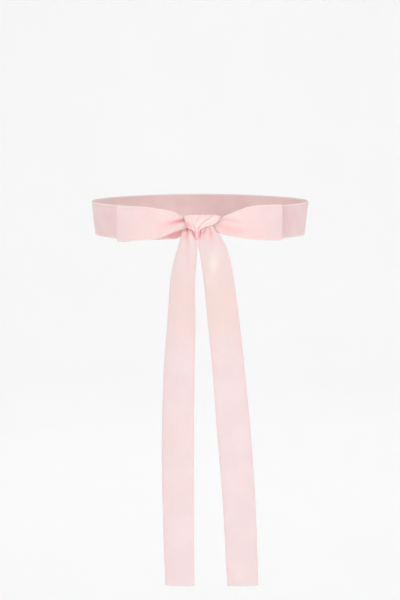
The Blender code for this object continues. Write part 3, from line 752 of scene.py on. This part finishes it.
def velvet_pile_group():
    """Velvet on the ribbon's own map: brushed and cream patches, a cream stretch near the cloth's top, fine
    pile, painted shade in the creases, painted highlights on the crests and woven edges.
    """
    tree = bpy.data.node_groups.new("velvet_pile", "ShaderNodeTree")
    sockets = (
        ("Pile", "NodeSocketColor", (0.9, 0.7, 0.7, 1.0)),
        ("Brushed", "NodeSocketColor", (0.95, 0.8, 0.8, 1.0)),
        ("Crease", "NodeSocketColor", (0.95, 0.4, 0.4, 1.0)),
        ("Crest", "NodeSocketColor", (0.95, 0.8, 0.8, 1.0)),
        ("Selvedge", "NodeSocketColor", (0.85, 0.75, 0.72, 1.0)),
        ("Cream", "NodeSocketColor", (0.9, 0.78, 0.7, 1.0)),
        ("Cream Reach", "NodeSocketFloat", 0.001),
        ("Patch Scale", "NodeSocketFloat", 55.0),
        ("Pile Depth", "NodeSocketFloat", 0.5),
    )
    for name, kind, value in sockets:
        made = tree.interface.new_socket(name=name, in_out="INPUT", socket_type=kind)
        made.default_value = value
    results = (
        ("Color", "NodeSocketColor"),
        ("Roughness", "NodeSocketFloat"),
        ("Normal", "NodeSocketVector"),
    )
    for name, kind in results:
        tree.interface.new_socket(name=name, in_out="OUTPUT", socket_type=kind)
    given = node(tree, "NodeGroupInput", -1400, 0)
    result = node(tree, "NodeGroupOutput", 900, 0)
    link = tree.links.new

    place = node(tree, "ShaderNodeTexCoord", -1400, 400)
    ribbon = node(tree, "ShaderNodeUVMap", -1400, -400, uv_map="ribbon")
    split = node(tree, "ShaderNodeSeparateXYZ", -1200, -400)
    link(ribbon.outputs[0], split.inputs[0])

    patches = node(tree, "ShaderNodeTexNoise", -1000, 400)
    patches.inputs["Detail"].default_value = 3.0
    patches.inputs["Roughness"].default_value = 0.55
    link(place.outputs["Object"], patches.inputs["Vector"])
    link(given.outputs["Patch Scale"], patches.inputs["Scale"])
    brushed = ranged(tree, -800, 400, patches.outputs["Fac"], BRUSHED_FROM, BRUSHED_TO)

    cream_scale = math_node(tree, "MULTIPLY", -1200, 700, given.outputs["Patch Scale"], CREAM_SCALE)
    cream_patches = node(tree, "ShaderNodeTexNoise", -1000, 700)
    cream_patches.inputs["Detail"].default_value = 2.0
    link(place.outputs["Object"], cream_patches.inputs["Vector"])
    link(cream_scale, cream_patches.inputs["Scale"])
    cream_noise = cream_patches.outputs["Fac"]
    creamy = ranged(tree, -800, 700, cream_noise, CREAM_FROM, CREAM_TO, 0.0, CREAM_SHARE)
    part_way = math_node(tree, "DIVIDE", -1000, 950, split.outputs["X"], given.outputs["Cream Reach"])
    starts = ranged(tree, -800, 950, part_way, CREAM_RISES, CREAM_FADES, CREAM_AT_TOP, CREAM_FULL)
    ends = ranged(tree, -800, 1200, part_way, CREAM_FADES, 1.0, 1.0, 0.0)
    near_top = math_node(tree, "MULTIPLY", -600, 1050, starts, ends)
    creamy = math_node(tree, "ADD", -600, 850, creamy, near_top)

    stretch = node(tree, "ShaderNodeMapping", -1000, 100)
    stretch.inputs["Scale"].default_value = TUFTS
    link(ribbon.outputs[0], stretch.inputs["Vector"])
    tufts = node(tree, "ShaderNodeTexNoise", -800, 100)
    tufts.inputs["Scale"].default_value = 1.0
    tufts.inputs["Detail"].default_value = 2.0
    link(stretch.outputs[0], tufts.inputs["Vector"])

    high_edge = math_node(tree, "SUBTRACT", -1000, -500, RIBBON_WIDTH, split.outputs["Y"])
    from_edge = math_node(tree, "MINIMUM", -800, -450, split.outputs["Y"], high_edge)
    pile_starts = SELVEDGE - PILE_IN_EDGE
    pile_full = SELVEDGE + PILE_PAST_EDGE
    in_pile = ranged(tree, -600, -450, from_edge, pile_starts, pile_full)
    # A faint line of painted shade in the pile, just past the woven edge
    edge_line = ranged(tree, -600, -650, from_edge, pile_full, SELVEDGE + EDGE_LINE, EDGE_LINE_SHARE, 0.0)

    threads = node(tree, "ShaderNodeTexWave", -800, -800, bands_direction="X")
    threads.inputs["Scale"].default_value = THREAD_SCALE
    link(ribbon.outputs[0], threads.inputs["Vector"])

    # The mesh's painted shading: shade painted where it is above 0, highlight painted where it is below 0
    blush = node(tree, "ShaderNodeAttribute", -600, 650, attribute_name="blush")
    pile = mixed(tree, -400, 400, brushed, given.outputs["Pile"], given.outputs["Brushed"])
    pile = mixed(tree, -200, 500, creamy, pile, given.outputs["Cream"])
    speckle = ranged(tree, -600, 100, tufts.outputs["Fac"], TUFT_LOW, TUFT_HIGH, *TUFT_SHADE)
    shade = node(tree, "ShaderNodeCombineColor", -300, 100)
    for socket in shade.inputs:
        link(speckle, socket)
    flecked = mixed(tree, -100, 300, 1.0, pile, shade.outputs[0], "MULTIPLY")
    # Painted highlight on the crests, a faint painted shade line by the woven edge, then painted shade in
    # the creases
    highlight_share = math_node(tree, "MULTIPLY", -400, 800, blush.outputs["Fac"], -1.0)
    with_highlight = mixed(tree, 0, 400, highlight_share, flecked, given.outputs["Crest"])
    lined = mixed(tree, 100, 200, edge_line, with_highlight, given.outputs["Crease"])
    with_shade = mixed(tree, 300, 250, blush.outputs["Fac"], lined, given.outputs["Crease"])
    colour = mixed(tree, 500, 100, in_pile, given.outputs["Selvedge"], with_shade)
    link(colour, result.inputs["Color"])

    rough = ranged(tree, 100, -200, tufts.outputs["Fac"], TUFT_LOW, TUFT_HIGH, *TUFT_ROUGHNESS)
    link(rough, result.inputs["Roughness"])

    pile_height = math_node(tree, "MULTIPLY", -300, -300, tufts.outputs["Fac"], in_pile)
    bare = math_node(tree, "SUBTRACT", -300, -500, 1.0, in_pile)
    bare_threads = math_node(tree, "MULTIPLY", -300, -700, threads.outputs["Fac"], bare)
    thread_height = math_node(tree, "MULTIPLY", -100, -700, bare_threads, THREAD_HEIGHT)
    height = math_node(tree, "ADD", 100, -500, pile_height, thread_height)
    bump = node(tree, "ShaderNodeBump", 400, -400)
    bump.inputs["Distance"].default_value = TUFT_HEIGHT
    link(given.outputs["Pile Depth"], bump.inputs["Strength"])
    link(height, bump.inputs["Height"])
    link(bump.outputs[0], result.inputs["Normal"])
    return tree


# The colours of a velvet, among them those its painted shade and painted highlights are mixed towards, how
# far down from the cloth's top its cream stretch reaches, in metres, and how small its patches are. Where
# there is no such stretch, it ends right at the top.
Velvet = namedtuple("Velvet", "pile brushed crease crest selvedge cream cream_reach patch_scale")

NO_CREAM_STRETCH = 0.001

# The sheen of the nap
SHEEN = 0.25
SHEEN_ROUGHNESS = 0.45
SHEEN_TINT = (1.0, 0.93, 0.92, 1.0)

# Light goes a little way into the pile: how much of it, how deep in metres, and how far each colour gets
GLOW = 0.5
GLOW_DEPTH = 0.002
GLOW_COLOURS = (1.0, 0.4, 0.35)


def velvet(name, group, finish):
    """A Principled material with the velvet group on its colour, roughness and normal."""
    material = bpy.data.materials.new(name)
    material.use_nodes = True
    tree = material.node_tree
    shader = tree.nodes["Principled BSDF"]
    pile = node(tree, "ShaderNodeGroup", -300, 200)
    pile.node_tree = group
    for label in ("Pile", "Brushed", "Crease", "Crest", "Selvedge", "Cream"):
        pile.inputs[label].default_value = (*getattr(finish, label.lower()), 1.0)
    pile.inputs["Cream Reach"].default_value = finish.cream_reach
    pile.inputs["Patch Scale"].default_value = finish.patch_scale
    tree.links.new(pile.outputs["Color"], shader.inputs["Base Color"])
    tree.links.new(pile.outputs["Roughness"], shader.inputs["Roughness"])
    tree.links.new(pile.outputs["Normal"], shader.inputs["Normal"])
    shader.inputs["Metallic"].default_value = 0.0
    shader.inputs["Specular IOR Level"].default_value = 0.15
    shader.inputs["Subsurface Weight"].default_value = GLOW
    shader.inputs["Subsurface Radius"].default_value = GLOW_COLOURS
    shader.inputs["Subsurface Scale"].default_value = GLOW_DEPTH
    shader.inputs["Sheen Weight"].default_value = SHEEN
    shader.inputs["Sheen Roughness"].default_value = SHEEN_ROUGHNESS
    shader.inputs["Sheen Tint"].default_value = SHEEN_TINT
    return material


def place_piece(piece, node_name):
    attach(piece, "root")
    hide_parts(node_name)


# Finishes: one velvet in four copies, with each copy's colours set lighter or darker for the light its part
# gets. The band's copy is darker, painted shade, and the knot's is lighter, painted light.
pile_group = velvet_pile_group()
band_velvet = velvet(
    "band_velvet",
    pile_group,
    Velvet(
        pile=(0.755, 0.565, 0.56),
        brushed=(0.78, 0.61, 0.60),
        crease=(0.77, 0.42, 0.42),
        crest=(0.78, 0.61, 0.60),
        selvedge=(0.76, 0.67, 0.65),
        cream=(0.77, 0.61, 0.585),
        cream_reach=NO_CREAM_STRETCH,
        patch_scale=45.0,
    ),
)
bow_velvet = velvet(
    "bow_velvet",
    pile_group,
    Velvet(
        pile=(0.842, 0.655, 0.648),
        brushed=(0.857, 0.69, 0.678),
        crease=(1.0, 0.46, 0.48),
        crest=(0.89, 0.76, 0.74),
        selvedge=(0.83, 0.71, 0.69),
        cream=(0.845, 0.68, 0.655),
        cream_reach=NO_CREAM_STRETCH,
        patch_scale=50.0,
    ),
)
knot_velvet = velvet(
    "knot_velvet",
    pile_group,
    Velvet(
        pile=(0.93, 0.71, 0.705),
        brushed=(0.95, 0.77, 0.75),
        crease=(1.0, 0.43, 0.47),
        crest=(0.97, 0.81, 0.785),
        selvedge=(0.90, 0.73, 0.70),
        cream=(0.96, 0.77, 0.73),
        cream_reach=NO_CREAM_STRETCH,
        patch_scale=70.0,
    ),
)
tail_velvet = velvet(
    "tail_velvet",
    pile_group,
    Velvet(
        pile=(0.78, 0.66, 0.664),
        brushed=(0.80, 0.688, 0.689),
        crease=(1.0, 0.46, 0.48),
        crest=(0.85, 0.77, 0.735),
        selvedge=(0.755, 0.645, 0.645),
        cream=(0.785, 0.645, 0.607),
        cream_reach=0.16,
        patch_scale=40.0,
    ),
)

# The pieces
across = ribbon_columns()
left_loop_form = loop_surface(LEFT_LOOP, LEFT_LOOP_FRONT, LEFT_LOOP_BACK)
right_loop_form = loop_surface(RIGHT_LOOP, RIGHT_LOOP_FRONT, RIGHT_LOOP_BACK)
left_tail_form = tail_surface(LEFT_TAIL, LEFT_TAIL_FOLDS)
right_tail_form = tail_surface(RIGHT_TAIL, RIGHT_TAIL_FOLDS)
waist_band = ribbon_shell("waist_band_velvet", band_surface, BAND_ROWS, across, band_velvet, closed=True)
left_loop = ribbon_shell("bow_loop_left_velvet", left_loop_form, LOOP_ROWS, across, bow_velvet)
right_loop = ribbon_shell("bow_loop_right_velvet", right_loop_form, LOOP_ROWS, across, bow_velvet)
left_tail = ribbon_shell("tail_left_velvet", left_tail_form, TAIL_ROWS, across, tail_velvet)
right_tail = ribbon_shell("tail_right_velvet", right_tail_form, TAIL_ROWS, across, tail_velvet)

wrap_across = np.linspace(0.0, 1.0, WRAP_COLUMNS + 1)
wrap_along = np.linspace(0.0, 1.0, WRAP_ROWS + 1)
wrap_points, wrap_blush = wrap_surface(wrap_along, wrap_across)
knot_wrap = cloth_grid(
    "knot_wrap_velvet",
    wrap_points,
    wrap_blush,
    wrap_along * WRAP_LENGTH,
    wrap_places(wrap_across),
    knot_velvet,
    closed=True,
)

place_piece(waist_band, "waist_band")
place_piece(left_loop, "bow_loop_left")
place_piece(right_loop, "bow_loop_right")
place_piece(knot_wrap, "knot_wrap")
place_piece(left_tail, "tail_left")
place_piece(right_tail, "tail_right")

# The pale studio: a round floor that turns up into a wall, its paper in two close greys
FLOOR_HEIGHT = -1.05
FLOOR_RADIUS = 4.0
FLOOR_CORNERS = 96
COVE_RADIUS = 1.5
WALL_HEIGHT = 4.0
COVE_STEPS = 10
PAPER_DARK = (0.90, 0.90, 0.90, 1.0)
PAPER_LIGHT = (0.92, 0.92, 0.92, 1.0)
PAPER_PATCHES = 3.0


def studio_material():
    material = bpy.data.materials.new("studio_paper")
    material.use_nodes = True
    tree = material.node_tree
    shader = tree.nodes["Principled BSDF"]
    place = node(tree, "ShaderNodeTexCoord", -700, 0)
    noise = node(tree, "ShaderNodeTexNoise", -500, 0)
    noise.inputs["Scale"].default_value = PAPER_PATCHES
    tree.links.new(place.outputs["Object"], noise.inputs["Vector"])
    tone = mixed(tree, -250, 0, noise.outputs["Fac"], PAPER_DARK, PAPER_LIGHT)
    tree.links.new(tone, shader.inputs["Base Color"])
    shader.inputs["Roughness"].default_value = 0.95
    shader.inputs["Specular IOR Level"].default_value = 0.0
    return material


def studio():
    bpy.ops.object.select_all(action="DESELECT")
    bpy.ops.mesh.primitive_circle_add(
        vertices=FLOOR_CORNERS, radius=FLOOR_RADIUS, fill_type="NGON", location=(0.0, 0.0, FLOOR_HEIGHT)
    )
    paper = bpy.context.object
    paper.name = "studio_floor"
    bpy.ops.object.transform_apply(location=True, rotation=False, scale=False)
    bpy.ops.object.mode_set(mode="EDIT")
    bpy.ops.mesh.select_all(action="SELECT")
    bpy.ops.mesh.region_to_loop()
    radius = FLOOR_RADIUS
    height = 0.0
    for step in range(1, COVE_STEPS + 2):
        turn = math.pi / 2.0 * min(step, COVE_STEPS) / COVE_STEPS
        next_radius = FLOOR_RADIUS + COVE_RADIUS * math.sin(turn)
        next_height = COVE_RADIUS * (1.0 - math.cos(turn))
        if step > COVE_STEPS:
            next_height = WALL_HEIGHT
        bpy.ops.mesh.extrude_edges_move(TRANSFORM_OT_translate={"value": (0.0, 0.0, next_height - height)})
        grow = next_radius / radius
        bpy.ops.transform.resize(value=(grow, grow, 1.0), center_override=(0.0, 0.0, 0.0))
        radius = next_radius
        height = next_height
    bpy.ops.mesh.select_all(action="SELECT")
    bpy.ops.mesh.normals_make_consistent(inside=False)
    bpy.ops.object.mode_set(mode="OBJECT")
    paper.data.shade_smooth()
    paper.data.materials.append(studio_material())


def aim(thing, target):
    thing.rotation_euler = (Vector(target) - thing.location).to_track_quat("-Z", "Y").to_euler()


def soft_light(name, place, target, size, power, spread=180.0):
    light = bpy.data.lights.new(name, "AREA")
    light.shape = "DISK"
    light.size = size
    light.energy = power
    light.spread = math.radians(spread)
    lamp = bpy.data.objects.new(name, light)
    lamp.location = place
    bpy.context.scene.collection.objects.link(lamp)
    aim(lamp, target)


# Each light's place, what it faces, its size in metres and its power in watts
MIDDLE = (0.0, -0.1, -0.1)

studio()
soft_light("key_light", (-1.9, -1.7, 1.4), MIDDLE, 1.2, 12.5)
soft_light("fill_light", (2.2, -1.5, 0.3), MIDDLE, 1.6, 14.0)
soft_light("low_light", (-0.3, -2.2, -0.5), MIDDLE, 0.9, 1.9, spread=70.0)
soft_light("backdrop_light", (0.0, 2.5, 2.9), (0.0, 4.2, -0.9), 2.6, 38.0)

# A plain white sky fills the shadows
SKY_STRENGTH = 0.8

world = bpy.data.worlds.new("soft_sky")
world.use_nodes = True
background = world.node_tree.nodes["Background"]
background.inputs["Color"].default_value = (1.0, 1.0, 1.0, 1.0)
background.inputs["Strength"].default_value = SKY_STRENGTH
bpy.context.scene.world = world
bpy.context.scene.view_settings.view_transform = "Standard"

# The camera stands at the photo's viewing angle to the bow
CAMERA_DISTANCE = 2.1
CAMERA_ELEVATION = math.radians(6.8)
CAMERA_PITCH = math.radians(9.3636)
FRAME_HEIGHT_PX = 600
FOCAL_LENGTH_PX = 1848.37
SENSOR = 36.0

camera_data = bpy.data.cameras.new("camera")
camera_data.sensor_width = SENSOR
camera_data.lens = SENSOR * FOCAL_LENGTH_PX / FRAME_HEIGHT_PX
camera = bpy.data.objects.new("camera", camera_data)
camera.location = (
    0.0,
    -CAMERA_DISTANCE * math.cos(CAMERA_ELEVATION),
    CAMERA_DISTANCE * math.sin(CAMERA_ELEVATION),
)
camera.rotation_euler = (math.pi / 2.0 - CAMERA_PITCH, 0.0, 0.0)
bpy.context.scene.collection.objects.link(camera)
bpy.context.scene.camera = camera
